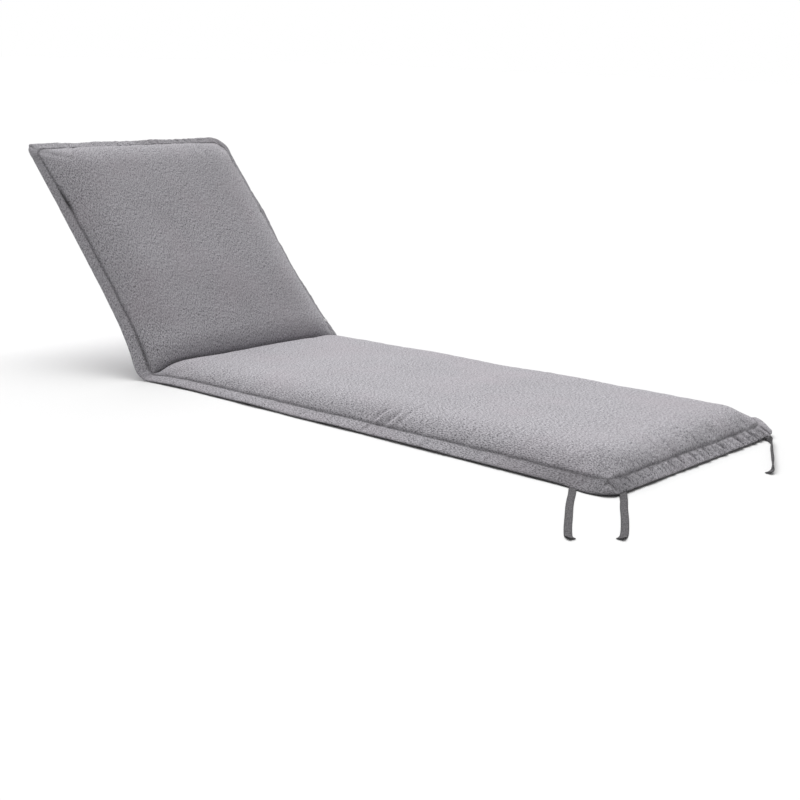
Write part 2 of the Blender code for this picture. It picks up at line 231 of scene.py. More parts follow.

# Gathers in the hem of the foot end, placed one by one.
# (across near the seam, across near the free edge, width, depth)
FOOT_GATHERS = (
    (-0.286, -0.281, 0.0054, 0.0040),
    (-0.252, -0.246, 0.0040, 0.0040),
    (-0.234, -0.232, 0.0047, 0.0053),
    (-0.196, -0.198, 0.0045, 0.0019),
    (-0.153, -0.160, 0.0047, 0.0031),
    (-0.120, -0.118, 0.0045, 0.0019),
    (-0.096, -0.088, 0.0047, 0.0040),
    (-0.058, -0.056, 0.0052, 0.0059),
    (-0.019, -0.011, 0.0049, 0.0053),
    (0.006, 0.009, 0.0043, 0.0022),
    (0.029, 0.034, 0.0054, 0.0056),
    (0.058, 0.062, 0.0043, 0.0025),
    (0.081, 0.102, 0.0052, 0.0056),
    (0.120, 0.126, 0.0043, 0.0022),
    (0.148, 0.161, 0.0052, 0.0059),
    (0.178, 0.186, 0.0043, 0.0028),
    (0.200, 0.213, 0.0047, 0.0053),
    (0.226, 0.236, 0.0045, 0.0050),
    (0.254, 0.260, 0.0047, 0.0050),
)

# Small puckers beside the seam. For each edge of the cushion:
# (edge, mean spacing, reach into the pad, depth in the pad, depth in the hem)
PUCKERS = (
    ("near", 0.021, 0.034, 0.0011, 0.0020),
    ("far", 0.021, 0.034, 0.0011, 0.0020),
    ("foot", 0.014, 0.046, 0.0011, 0.0009),
    ("head", 0.021, 0.030, 0.0010, 0.0018),
)
PUCKER_SEED = 11
PUCKER_MARGIN = 0.02
PUCKER_FADE = 1.5

# Ranges of the puckers: steps and reaches as shares of the mean, and for the pad and the
# hem the spread of their lean, their least strength and their widths
PUCKER_STEPS = (0.6, 1.5)
PUCKER_REACHES = (0.5, 1.1)
PAD_PUCKERS = (0.35, 0.25, 0.0030, 0.0052)
HEM_PUCKERS = (0.30, 0.15, 0.0030, 0.0050)

# Thread of the seam
STITCH_LENGTH = 0.0031
STITCH_PITCH = 0.0040
STITCH_THICKNESS = 0.0006
STITCH_FACETS = 5

# One stitch: rows of (share of its length, share of its thickness, height in half thicknesses)
STITCH_PROFILE = ((-0.5, 0.35, -0.8), (-0.3, 1.0, 0.3), (0.3, 1.0, 0.3), (0.5, 0.35, -0.8))

# Section of a tape, in shares of its half width and half thickness: fuller beside its two
# woven edges. Its end is turned in, so it is fuller there too.
TAPE_SECTION = (
    (-1.0, 0.25), (-0.97, 0.8), (-0.85, 1.08), (-0.6, 1.0), (-0.3, 1.0), (0.0, 1.0),
    (0.3, 1.0), (0.6, 1.0), (0.85, 1.08), (0.97, 0.8), (1.0, 0.25),
)
TAPE_END_FULLER = 0.4
TAPE_END_STEP = 0.001

# Tie tapes. A tape lies in low waves: their height, how closely they follow each other, how
# they differ from tape to tape, and the share of its length that they take up.
TIE_WIDTH = 0.013
TIE_THICKNESS = 0.0011
TIE_CLEARANCE = 0.0012
TIE_SECTIONS = 150
TIE_SEWN_IN = 0.0040
TIE_CREST = 0.0016
TIE_CREST_TURNS = 19.0
TIE_CREST_SHIFT = 300.0
TIE_CREST_SPAN = (0.20, 0.97)
TIE_CREST_FADES = (0.20, 0.10)
TIE_TIP = 0.008
TIE_TIP_LIFT = 0.0005
TWIST_FROM = 0.80
TWIST_IN = 0.12
FLOOR_CLEARANCE = 0.0002

# How a tie comes down from the hem's free edge to the first point of its route.
# (share of the way out, share of the shift along the edge, share of the drop)
TIE_DROP = (
    (0.25, 0.25, 0.25),
    (0.55, 0.55, 0.70),
)

# Shares of a tie's length: where it starts to lean, and how soon it leans and lies again
LEAN_FROM = 0.08
LEAN_IN = 0.14
LEAN_OUT = 0.34

# name: (edge, place along the edge, most that the tape leans over on one edge,
#        how far its tip is twisted, route on the floor)
# A route row is (distance out from the edge, shift along the edge).
TIES = {
    "tie_near_side": ("near", 0.075, 0.0, -15.0, (
        (0.030, 0.015), (0.056, 0.030), (0.089, 0.050), (0.134, 0.079),
        (0.176, 0.106), (0.208, 0.128), (0.2185, 0.138), (0.2210, 0.145))),
    "tie_near_end": ("foot", -0.270, 0.0, 15.0, (
        (0.022, -0.030), (0.040, -0.059), (0.069, -0.103), (0.096, -0.146),
        (0.114, -0.177), (0.120, -0.193), (0.1205, -0.200))),
    "tie_far_end": ("foot", 0.247, 80.0, 15.0, (
        (0.024, -0.028), (0.037, -0.055), (0.055, -0.089), (0.073, -0.123),
        (0.093, -0.160), (0.108, -0.194), (0.113, -0.209), (0.1125, -0.218))),
    "tie_far_side": ("far", 0.083, 0.0, 12.0, (
        (0.030, -0.030), (0.044, -0.070), (0.047, -0.115), (0.042, -0.160),
        (0.042, -0.195), (0.051, -0.220), (0.064, -0.229))),
}

# Blank label on the hem of the back's far side
LABEL_RUN = -0.062
LABEL_WIDTH = 0.008
LABEL_LENGTH = 0.018
LABEL_THICKNESS = 0.0006
LABEL_CLEARANCE = 0.0007
LABEL_INSET = 0.0015
LABEL_SECTIONS = 24
LABEL_TIP = 0.002

# Colours are linear RGB
CLOTH_DARK = (0.165, 0.158, 0.173)
CLOTH_MID = (0.415, 0.401, 0.430)
CLOTH_LIGHT = (0.735, 0.717, 0.757)
CLOTH_WARM = (0.450, 0.392, 0.430)
# Painted shade: the tape's colours are much darker than the cloth's, and its edges darker still
TAPE_PAINTED_SHADE_COLOUR = (0.142, 0.137, 0.144)
TAPE_DARK = (0.046, 0.044, 0.047)
TAPE_EDGE_PAINTED_SHADE = (0.040, 0.038, 0.041)
LABEL_COLOUR = (0.620, 0.615, 0.620)
THREAD_COLOUR = (0.200, 0.193, 0.205)
FLOOR_COLOUR = (0.790, 0.790, 0.790)

# Camera, from the photograph's perspective
CAMERA_PLACE = Vector((1.7954, -2.2900, 0.7092))
CAMERA_HEADING = math.radians(130.008)
CAMERA_DOWN = math.radians(13.523)
CAMERA_ROLL = math.radians(1.85)
CAMERA_LENS = 65.9
CAMERA_SENSOR = 36.0

# Light: an even sky and one very broad lamp, far off above and behind the back
SKY_STRENGTH = 0.31
BACKGROUND_STRENGTH = 1.0
KEY_FROM = Vector((-0.42, 0.33, 0.85))
KEY_SPREAD = math.radians(60.0)
KEY_STRENGTH = 3.6

BEND_HALF = BEND_RADIUS * BACK_ANGLE / 2.0
BEND_TANGENT = BEND_RADIUS * math.tan(BACK_ANGLE / 2.0)
SEAT_RUN = SEAT_LENGTH - BEND_TANGENT + BEND_HALF
BACK_RUN = BACK_LENGTH - BEND_TANGENT + BEND_HALF
HALF_WIDTH = WIDTH / 2.0


def rise(distance, reach):
    """Go from 0 to 1 at reach along a quarter circle, steep at first and level at the end."""
    share = np.clip(distance / reach, 0.0, 1.0)
    return np.sqrt(1.0 - (1.0 - share) ** 2)


def ease(value):
    """Smooth step from 0 to 1."""
    value = np.clip(value, 0.0, 1.0)
    return value * value * (3.0 - 2.0 * value)


def swell(distance, run):
    """How full a pad is at a distance in from its seam, from 0 to 1. The back's is softer."""
    on_back = np.clip(-run / SHOULDER_BLEND, 0.0, 1.0)
    reach = SHOULDER_ON_SEAT + (SHOULDER_ON_BACK - SHOULDER_ON_SEAT) * on_back
    share = np.clip(distance / reach, 0.0, 1.0)
    return 1.0 - (1.0 - share) ** SHOULDER_POWER


def place(run, across, height):
    """Turn run, across and height into points of the part."""
    turn = np.clip((BEND_HALF - run) / BEND_RADIUS, 0.0, BACK_ANGLE)
    beyond = np.where(run > BEND_HALF, run - BEND_HALF, np.minimum(run + BEND_HALF, 0.0))
    lift = BEND_RADIUS - height
    x = BEND_TANGENT - lift * np.sin(turn) + beyond * np.cos(turn)
    z = BEND_RADIUS - lift * np.cos(turn) - beyond * np.sin(turn)
    return np.stack([x - SEAT_LENGTH / 2.0, across + 0.0 * x, z], axis=-1)


def edge_distances(run, across):
    end = np.where(run > 0.0, SEAT_RUN - run, BACK_RUN + run)
    return end, HALF_WIDTH - np.abs(across)


def waves(rows, run, across):
    return sum(share * np.sin(a * run + b * across) for a, b, share in rows)


def hem_shape(run, across):
    out = 0.0 * run
    up = 0.0 * run
    for middle, side, reach, most_out, most_up in HEM_SHAPES:
        beside = (across - side * HALF_WIDTH) / reach
        share = np.exp(-(((run - middle) / reach) ** 2) - beside ** 2)
        out = out + most_out * share
        up = up + most_up * share
    return out, up


def corner_radius(run, across, inward):
    """Radius of the corner that a line at this distance in from the edge goes round."""
    pairs = np.array(((HEAD_NEAR_RADII, HEAD_FAR_RADII), (FOOT_NEAR_RADII, FOOT_FAR_RADII)))
    chosen = pairs[np.greater(run, 0.0).astype(int), np.greater(across, 0.0).astype(int)]
    edge = chosen[..., 0]
    seam = chosen[..., 1]
    over_hem = edge + (seam - edge) * inward / HEM_WIDTH
    inside = seam * np.clip(1.0 - (inward - HEM_WIDTH) / CORNER_FADE, 0.0, 1.0)
    return np.maximum(np.where(inward < HEM_WIDTH, over_hem, inside), 1e-6)


def seam_drift(run, across, side):
    share = np.minimum(side / HEM_WIDTH, 1.0 - (side - HEM_WIDTH) / SEAM_DRIFT_FADE)
    share = np.where(across > 0.0, 0.0, np.maximum(share, 0.0))
    return SEAM_DRIFT * share * np.exp(-(((run + BACK_RUN) / SEAM_DRIFT_REACH) ** 2))


def plan(run, across):
    """Plan outline: rounded corners, long sides drawn in, wider at the bend, uneven hem."""
    end, side = edge_distances(run, across)
    length = np.where(run > 0.0, SEAT_RUN, BACK_RUN)
    pull = DRAWN_IN * np.sin(math.pi * np.clip(end / length, 0.0, 1.0))
    pull = pull - BEND_SPREAD * np.exp(-(((run - BEND_SPREAD_MIDDLE) / BEND_SPREAD_REACH) ** 2))
    pull = pull * np.abs(across) / HALF_WIDTH
    wave = HEM_WAVE_PLAN * waves(HEM_WAVES, run, across)
    out = wave + hem_shape(run, across)[0]
    side_out = out * np.maximum(0.0, 1.0 - side / HEM_WIDTH) - pull
    side_out = side_out + seam_drift(run, across, side)
    end_out = wave * np.maximum(0.0, 1.0 - end / HEM_WIDTH)

    inward = np.minimum(end, side)
    radius = corner_radius(run, across, inward)
    u = np.clip(1.0 - (end - inward) / radius, 0.0, 1.0)
    v = np.clip(1.0 - (side - inward) / radius, 0.0, 1.0)
    end_shift = radius * u * (1.0 - np.sqrt(1.0 - v * v / 2.0))
    side_shift = radius * v * (1.0 - np.sqrt(1.0 - u * u / 2.0))
    to_end = np.where(run > 0.0, 1.0, -1.0)
    to_side = np.where(across > 0.0, 1.0, -1.0)
    return run + to_end * (end_out - end_shift), across + to_side * (side_out - side_shift)


def crown_height(run, across):
    end, side = edge_distances(run, across)
    length = np.where(run > 0.0, SEAT_RUN, BACK_RUN)
    seat = SEAT_HEIGHT_AT_BEND + (SEAT_HEIGHT_AT_FOOT - SEAT_HEIGHT_AT_BEND) * run / SEAT_RUN
    pad = np.where(run < 0.0, BACK_HEIGHT, seat)
    dome = (1.0 - (across / HALF_WIDTH) ** 2) * np.sin(math.pi * np.clip(end / length, 0.0, 1.0))
    slow = CROWN_UNEVEN * rise(side, CROWN_UNEVEN_REACH) * waves(CROWN_WAVES, run, across)
    return pad + CROWN * dome + slow


def seam_height(run, across):
    share = np.maximum(run, 0.0) / SEAT_RUN
    height = SEAM_HEIGHT_ON_BACK + (SEAM_HEIGHT_AT_FOOT - SEAM_HEIGHT_ON_BACK) * share
    height = height - SEAM_DIP * np.exp(-((run / SEAM_DIP_REACH) ** 2))
    return height + SEAM_FOLLOWS * hem_shape(run, across)[1]


def hem_half_thickness(inward):
    """Half of the hem's thickness: round at its edge, thicker where its cloth is folded in."""
    round_edge = np.sqrt(1.0 - (1.0 - np.clip((inward + 0.0001) / HEM_EDGE_ROUND, 0.0, 1.0)) ** 2)
    fold = HEM_FOLD_STEP * (1.0 - ease((inward - HEM_FOLD_WIDTH) / HEM_FOLD_BLEND + 0.5))
    to_seam = (SEAM_THICKNESS - HEM_THICKNESS) / 2.0 * (inward / HEM_WIDTH) ** 4
    return (HEM_THICKNESS / 2.0 + to_seam - HEM_FOLD_STEP / 2.0 + fold) * round_edge


def skins(run, across):
    """Heights of the upper and the lower skin."""
    end, side = edge_distances(run, across)
    inward = np.minimum(end, side)
    seam = seam_height(run, across)

    edge = HEM_EDGE_HEIGHT + HEM_WAVE_HEIGHT * (1.0 + waves(HEM_WAVES, run, across))
    edge = edge + hem_shape(run, across)[1]
    hem_middle = edge + (seam - edge) * inward / HEM_WIDTH
    half = hem_half_thickness(np.minimum(inward, HEM_WIDTH))

    filled = swell(side - HEM_WIDTH, run) * swell(end - HEM_WIDTH, np.maximum(run, 0.0))
    channel = rise(np.abs(run), CHANNEL_SHOULDER)
    low = seam + SEAM_THICKNESS / 2.0
    low = low + (CHANNEL_TOP - low) * filled * (1.0 - channel)
    top = low + (crown_height(run, across) - low) * filled * channel

    flat = rise(inward - HEM_WIDTH, UNDERSIDE_SHOULDER)
    flat_channel = rise(np.abs(run), CHANNEL_UNDERSIDE)
    raised = (CHANNEL_TOP - CHANNEL_THICKNESS) * (1.0 - flat_channel)
    bottom = (seam - SEAM_THICKNESS / 2.0) * (1.0 - flat) + raised * flat

    in_hem = inward <= HEM_WIDTH
    return np.where(in_hem, hem_middle + half, top), np.where(in_hem, hem_middle - half, bottom)


def between(start, stop, spacing, even):
    """Evenly spaced values strictly between start and stop, an odd or even number of steps."""
    steps = max(1, round(abs(stop - start) / spacing))
    if (steps % 2 == 0) != even:
        steps += 1
    return [start + (stop - start) * i / steps for i in range(1, steps)]


def lines_across():
    near = [-HALF_WIDTH + inward for inward in EDGE_LINES]
    far = [-value for value in reversed(near)]
    return np.array(near + between(near[-1], far[0], GRID_ACROSS, True) + far)


def lines_along():
    head = [-BACK_RUN + inward for inward in EDGE_LINES]
    foot = [SEAT_RUN - inward for inward in reversed(EDGE_LINES)]
    bend = [-line for line in reversed(BEND_LINES[1:])] + list(BEND_LINES)
    back = between(head[-1], bend[0], GRID_ALONG, True)
    seat = between(bend[-1], FINE_FROM, GRID_ALONG, True) + [FINE_FROM]
    seat += between(FINE_FROM, FINE_TO, GRID_FINE, True) + [FINE_TO]
    seat += between(FINE_TO, foot[0], GRID_ALONG, True)
    return np.array(head + back + bend + seat + foot)


def uneven(run, across, height, period_run, period_across, seed):
    """Smooth noise of a height on the flat cloth."""
    random = np.random.default_rng(seed)
    table = random.uniform(-1.0, 1.0, (64, 64))
    u = run / period_run + 31.0
    v = across / period_across + 31.0
    i = np.floor(u).astype(int)
    j = np.floor(v).astype(int)
    s = ease(u - i)
    t = ease(v - j)
    i, j, i1, j1 = i % 64, j % 64, (i + 1) % 64, (j + 1) % 64
    one = table[i, j] * (1 - s) + table[i1, j] * s
    two = table[i, j1] * (1 - s) + table[i1, j1] * s
    return height * (one * (1 - t) + two * t)


def normals_of(points):
    """Outward normals of an upper skin's grid of points, rows along and columns across."""
    along = np.gradient(points, axis=0)
    across = np.gradient(points, axis=1)
    normal = np.cross(along, across)
    return normal / np.maximum(np.linalg.norm(normal, axis=-1, keepdims=True), 1e-12)


def add_crease(field, rows, columns, start, end, bow, width, depth):
    """Press one soft trough with a low ridge beside it into a field over the grid."""
    reach = 4.0 * width + abs(bow)
    low = np.minimum(start, end) - reach
    high = np.maximum(start, end) + reach
    r0, r1 = np.searchsorted(rows, (low[0], high[0]))
    c0, c1 = np.searchsorted(columns, (low[1], high[1]))
    if r1 - r0 < 2 or c1 - c0 < 2:
        return
    run = rows[r0:r1, None] - start[0]
    across = columns[None, c0:c1] - start[1]
    way = np.array(end) - np.array(start)
    length = np.hypot(*way)
    share = (run * way[0] + across * way[1]) / length ** 2
    beside = (run * way[1] - across * way[0]) / length - bow * 4.0 * share * (1.0 - share)
    fade = ease(share / CREASE_FADE_IN) * ease((1.0 - share) / CREASE_FADE_OUT)
    trough = np.exp(-((beside / width) ** 2))
    ridge = np.exp(-(((beside - RIDGE_BESIDE * width) / (RIDGE_WIDTH * width)) ** 2))
    field[r0:r1, c0:c1] += depth * fade * (RIDGE_SHARE * ridge - trough)


def edge_point(edge, along, inward):
    """Flat-cloth place at a distance in from an edge."""
    places = {"near": (along, inward - HALF_WIDTH), "far": (along, HALF_WIDTH - inward),
              "head": (inward - BACK_RUN, along), "foot": (SEAT_RUN - inward, along)}
    return np.array(places[edge])


def add_puckers(pad, hem, rows, columns):
    """Small creases that the seam draws into the pad on one side and the hem on the other."""
    random = np.random.default_rng(PUCKER_SEED)
    for edge, spacing, reach, pad_depth, hem_depth in PUCKERS:
        long_side = edge in ("near", "far")
        first = -BACK_RUN + HEM_WIDTH if long_side else -HALF_WIDTH + HEM_WIDTH
        last = SEAT_RUN - HEM_WIDTH if long_side else HALF_WIDTH - HEM_WIDTH
        along = first + PUCKER_MARGIN
        while along < last - PUCKER_MARGIN:
            spread, least, thinnest, widest = PAD_PUCKERS
            lean = random.normal(0.0, spread)
            strength = random.uniform(least, 1.0) ** PUCKER_FADE
            length = reach * random.uniform(*PUCKER_REACHES)
            start = edge_point(edge, along, HEM_WIDTH + 0.0002)
            end = edge_point(edge, along + lean * length, HEM_WIDTH + length)
            width = random.uniform(thinnest, widest)
            add_crease(pad, rows, columns, start, end, 0.0, width, pad_depth * strength)

            spread, least, thinnest, widest = HEM_PUCKERS
            lean = random.normal(0.0, spread)
            strength = random.uniform(least, 1.0) ** PUCKER_FADE
            start = edge_point(edge, along, HEM_WIDTH - 0.001)
            end = edge_point(edge, along + lean * HEM_WIDTH, -0.006)
            width = random.uniform(thinnest, widest)
            add_crease(hem, rows, columns, start, end, 0.0, width, hem_depth * strength)
            along += spacing * random.uniform(*PUCKER_STEPS)
    for at_seam, at_edge, width, depth in FOOT_GATHERS:
        start = edge_point("foot", at_seam, HEM_WIDTH - 0.001)
        end = edge_point("foot", at_edge, -0.004)
        add_crease(hem, rows, columns, start, end, 0.0, width, depth)


def grid_faces(row_count, column_count):
    faces = []
    for i in range(row_count - 1):
        for j in range(column_count - 1):
            a = i * column_count + j
            b = a + column_count
            faces.append((a, b, b + 1, a + 1))
    return faces


def settle_cloth(points, held):
    """Let the cloth take up its filling: a short simulation, its result read from the mesh.

    held is from 0, free, to 1, sewn down. Returns the moved points.
    """
    obj = mesh_object("settling", points.reshape(-1, 3).tolist(), grid_faces(*held.shape), None)
    group = obj.vertex_groups.new(name="held")
    levels = np.round(held.ravel(), 2)
    for level in np.unique(levels[levels > 0.0]):
        group.add(np.flatnonzero(levels == level).tolist(), float(level), "REPLACE")
    cloth = obj.modifiers.new("cloth", "CLOTH")
    settings = cloth.settings
    settings.quality = 4
    settings.tension_stiffness = SETTLE_STIFFNESS
    settings.compression_stiffness = SETTLE_STIFFNESS
    settings.shear_stiffness = SETTLE_STIFFNESS / 3.0
    settings.bending_stiffness = SETTLE_BENDING
    settings.use_pressure = True
    settings.uniform_pressure_force = SETTLE_PRESSURE
    settings.shrink_min = -SETTLE_FULLNESS
    settings.vertex_group_mass = group.name
    settings.pin_stiffness = SETTLE_PINS
    settings.effector_weights.gravity = 0.0
    cloth.collision_settings.use_collision = False
    cloth.point_cache.frame_end = SETTLE_FRAMES
    scene = bpy.context.scene
    for frame_number in range(1, SETTLE_FRAMES + 1):
        scene.frame_set(frame_number)
    mesh = obj.evaluated_get(bpy.context.evaluated_depsgraph_get()).data
    moved = np.zeros(points.size)
    mesh.vertices.foreach_get("co", moved)
    bpy.data.objects.remove(obj, do_unlink=True)
    scene.frame_set(1)
    return moved.reshape(points.shape)


def settled_field(fine_rows, fine_columns):
    """How far the upper skin swells or sinks where its cloth gathers along the seams."""
    first = -BACK_RUN + HEM_WIDTH
    last = SEAT_RUN - HEM_WIDTH
    half = HALF_WIDTH - HEM_WIDTH
    rows = np.linspace(first, last, round((last - first) / SETTLE_GRID) + 1)
    columns = np.linspace(-half, half, round(2.0 * half / SETTLE_GRID) + 1)
    run, across = np.meshgrid(rows, columns, indexing="ij")
    points = place(*plan(run, across), skins(run, across)[0])
    end, side = edge_distances(run, across)
    inward = np.minimum(end, side) - HEM_WIDTH
    held = SETTLE_HOLD * ease(np.minimum(inward, 0.8 * np.abs(run)) / SETTLE_HOLD_REACH)
    sewn = (inward < SETTLE_SEWN_AT_SEAM) | (np.abs(run) < SETTLE_SEWN_AT_BEND)
    held = np.where(sewn, 1.0, held)
    moved = settle_cloth(points, held) - points
    field = np.clip((moved * normals_of(points)).sum(-1), -SETTLE_CAP, SETTLE_CAP)

    inside = ease(inward / SETTLE_REACH)
    towards_end = side / (side + end)
    strength = SETTLE_LONG_SIDES + (SETTLE_ENDS - SETTLE_LONG_SIDES) * towards_end
    field = field * (strength * (1.0 - inside) + SETTLE_INSIDE * inside)
    field = field * ease((np.abs(run) - SETTLE_FROM_BEND) / SETTLE_FADE_AT_BEND)
    part = [np.interp(fine_rows, rows, column) for column in field.T]
    return np.stack([np.interp(fine_columns, columns, row) for row in np.transpose(part)])


def softened(field, times):
    """Even a field out a little along both ways of its grid."""
    for _ in range(times):
        padded = np.pad(field, 1, mode="edge")
        field = (padded[:-2, 1:-1] + 2.0 * padded[1:-1, 1:-1] + padded[2:, 1:-1]) / 4.0
        padded = np.pad(field, 1, mode="edge")
        field = (padded[1:-1, :-2] + 2.0 * padded[1:-1, 1:-1] + padded[1:-1, 2:]) / 4.0
    return field


def cushion_points():
    """Points of the upper and the lower skin, as grids, with the flat-cloth places."""
    rows = lines_along()
    columns = lines_across()
    run, across = np.meshgrid(rows, columns, indexing="ij")
    top, bottom = skins(run, across)
    end, side = edge_distances(run, across)
    inward = np.minimum(end, side)
    spot = plan(run, across)
    wander = uneven(run, across, *SEAM_WANDER)
    beside_end = np.exp(-(((end - HEM_WIDTH) / SEAM_WANDER_REACH) ** 2)) * np.sign(run)
    beside_side = np.exp(-(((side - HEM_WIDTH) / SEAM_WANDER_REACH) ** 2)) * np.sign(across)
    spot = (spot[0] + wander * beside_end, spot[1] + wander * beside_side)
    upper = place(*spot, top)
    lower = place(*spot, bottom)
    settled = softened(settled_field(rows, columns), 2)
    groove = GROOVE_DEPTH * np.exp(-(((inward - HEM_WIDTH) / GROOVE_WIDTH) ** 2))
    in_pad = ease((inward - HEM_WIDTH) / PAD_FADE)
    in_pad = in_pad * ease((np.abs(run) - BEND_PLAIN) / PAD_FADE)
    in_hem = (inward < HEM_WIDTH) * ease((HEM_WIDTH - inward) / HEM_FADE)

    pad = np.zeros_like(run)
    hem = np.zeros_like(run)
    add_puckers(pad, hem, rows, columns)
    for start_run, start_across, end_run, end_across, bow, width, depth in CREASES:
        start = np.array((start_run, start_across))
        end = np.array((end_run, end_across))
        add_crease(pad, rows, columns, start, end, bow, width, depth)
    for row in PAD_UNEVEN:
        pad = pad + in_pad * uneven(run, across, *row)
    near_seam = in_pad * (1.0 - ease((inward - HEM_WIDTH) / RIM_REACH))
    pad = pad + near_seam * uneven(run, across, *RIM_UNEVEN)
    pad = np.where(inward > HEM_WIDTH, pad + settled, 0.0)

    hem = in_hem * (hem + uneven(run, across, *HEM_UNEVEN))
    normal = normals_of(upper)
    rear = REAR_SHARE * in_pad * settled[:, ::-1] * ease((-REAR_FROM - run) / REAR_FADE)
    upper = upper + normal * (pad + hem - groove)[..., None]
    lower = lower + normal * (hem - rear + 0.5 * groove)[..., None]
    lower[..., 2] = np.maximum(lower[..., 2], 0.0)
    upper[..., 2] = np.maximum(upper[..., 2], 0.0006)
    return rows, columns, upper, lower


def rim_of(row_count, column_count):
    """Row and column of each point round the outside of a grid, in order."""
    rim = [(0, column) for column in range(column_count)]
    rim += [(row, column_count - 1) for row in range(1, row_count)]
    rim += [(row_count - 1, column) for column in range(column_count - 2, -1, -1)]
    rim += [(row, 0) for row in range(row_count - 2, 0, -1)]
    return rim


def kept_lines(rows, columns):
    """Which lines of the fine grid the lower skin keeps: it is plainer, and coarse under the seat."""
    kept_rows = []
    for i, run in enumerate(rows):
        step = UNDERSIDE_STEP_BACK if run < BEND_LINES[-1] else UNDERSIDE_STEP_SEAT
        if i % step == 0 or i == len(rows) - 1:
            kept_rows.append(i)
    kept_columns = list(range(0, len(columns) - 1, UNDERSIDE_STEP_ACROSS)) + [len(columns) - 1]
    return kept_rows, kept_columns


def unrolled(skin):
    """Places on the flat cloth: lengths along the middle column and along a row of the seat."""
    rows, columns = skin.shape[:2]
    along = np.linalg.norm(np.diff(skin[:, columns // 2], axis=0), axis=1)
    across = np.linalg.norm(np.diff(skin[rows // 2], axis=0), axis=1)
    along = np.concatenate([[0.0], np.cumsum(along)])
    across = np.concatenate([[0.0], np.cumsum(across)])
    return np.stack(np.meshgrid(along, across, indexing="ij"), -1)


def edge_marks(run, across):
    """Closeness to the long sides and to the ends, painted shade at the seams and on parts of the hem,
    and the hem.
    """
    end, side = edge_distances(run, across)
    inward = np.minimum(end, side) - HEM_WIDTH
    in_hem = ease((0.002 - inward) / 0.004)
    strength = 1.0 + (HEM_RIPPLES - 1.0) * in_hem
    by_side = side <= end
    near_side = strength * (1.0 - ease((side - HEM_WIDTH) / RIPPLE_REACH)) * (1.0 - in_hem * ~by_side)
    near_end = strength * (1.0 - ease((end - HEM_WIDTH) / RIPPLE_REACH)) * (1.0 - in_hem * by_side)
    # Painted shade: a darker line along the seams and along the stitches across the bend
    to_stitches = np.minimum(np.abs(inward), np.where(inward > 0.0, np.abs(run), 1.0))
    sewn = np.exp(-((to_stitches / SEAM_SHADE_WIDTH) ** 2))
    # Painted shade in the open stretches beside the seam
    for middle, where, reach, darker in SEAM_GAP_SHADE:
        beside = np.exp(-(((side - HEM_WIDTH - SEAM_GAP_INWARD) / SEAM_GAP_WIDTH) ** 2))
        beside = beside * (across * where > 0.0)
        sewn = sewn + darker * beside * np.exp(-(((run - middle) / reach) ** 2))
    # Painted shade on the hem of the back's far side
    sewn = sewn + FAR_HEM_SHADE * in_hem * (across > 0.0) * ease(-run / 0.05)
    # Painted shade on the hem towards the near foot corner
    from_corner = ((SEAT_RUN - run) / CORNER_SHADE_ALONG) ** 2
    from_corner = from_corner + ((across + HALF_WIDTH) / CORNER_SHADE_ACROSS) ** 2
    sewn = sewn + CORNER_SHADE * in_hem * np.exp(-from_corner)
    return np.stack([near_side, near_end, sewn, in_hem], -1)


def cushion_mesh(cloth, rows, columns, upper, lower):
    kept_rows, kept_columns = kept_lines(rows, columns)
    n = len(columns)
    m = len(kept_columns)
    count = upper.shape[0] * n
    under = lower[np.ix_(kept_rows, kept_columns)]
    points = np.concatenate([upper.reshape(-1, 3), under.reshape(-1, 3)])

    flat = unrolled(upper)
    flat_under = unrolled(lower)[np.ix_(kept_rows, kept_columns)] + np.array((3.0, 0.0))
    flat = np.concatenate([flat.reshape(-1, 2), flat_under.reshape(-1, 2)])
    marks = edge_marks(*np.meshgrid(rows, columns, indexing="ij"))
    marks_under = marks[np.ix_(kept_rows, kept_columns)]
    marks = np.concatenate([marks.reshape(-1, 4), marks_under.reshape(-1, 4)])

    faces = grid_faces(len(rows), n)
    for a, b, c, d in grid_faces(len(kept_rows), m):
        faces.append((count + a, count + d, count + c, count + b))

    coarse = {}
    for i, row in enumerate(kept_rows):
        for j, column in enumerate(kept_columns):
            coarse[(row, column)] = count + i * m + j
    rim = rim_of(len(rows), n)
    stops = [k for k, spot in enumerate(rim) if spot in coarse]
    for first, last in zip(stops, stops[1:] + [stops[0] + len(rim)]):
        fine = [rim[k % len(rim)] for k in range(first, last + 1)]
        low_a = coarse[fine[0]]
        low_b = coarse[fine[-1]]
        upper_ids = [row * n + column for row, column in fine]
        middle = len(upper_ids) // 2
        for k in range(len(upper_ids) - 1):
            apex = low_a if k < middle else low_b
            faces.append((upper_ids[k], upper_ids[k + 1], apex))
        faces.append((upper_ids[middle], low_b, low_a))

    obj = mesh_object("cushion_cloth", points.tolist(), faces, cloth)
    write_flat_cloth(obj, flat)
    attribute = obj.data.attributes.new("edge_marks", "FLOAT_COLOR", "POINT")
    attribute.data.foreach_set("color", marks.ravel())
    return obj


def seam_line(grid, rows, columns):
    """The seam's closed line on a skin, through the grid's own points."""
    side = HALF_WIDTH - HEM_WIDTH
    i0, i1 = (int(np.argmin(np.abs(rows - run))) for run in (HEM_WIDTH - BACK_RUN, SEAT_RUN - HEM_WIDTH))
    j0, j1 = (int(np.argmin(np.abs(columns - across))) for across in (-side, side))
    sides = (grid[i0:i1, j0], grid[i1, j0:j1], grid[i1:i0:-1, j1], grid[i0, j1:j0:-1])
    return np.concatenate(sides + (grid[i0:i0 + 1, j0],))


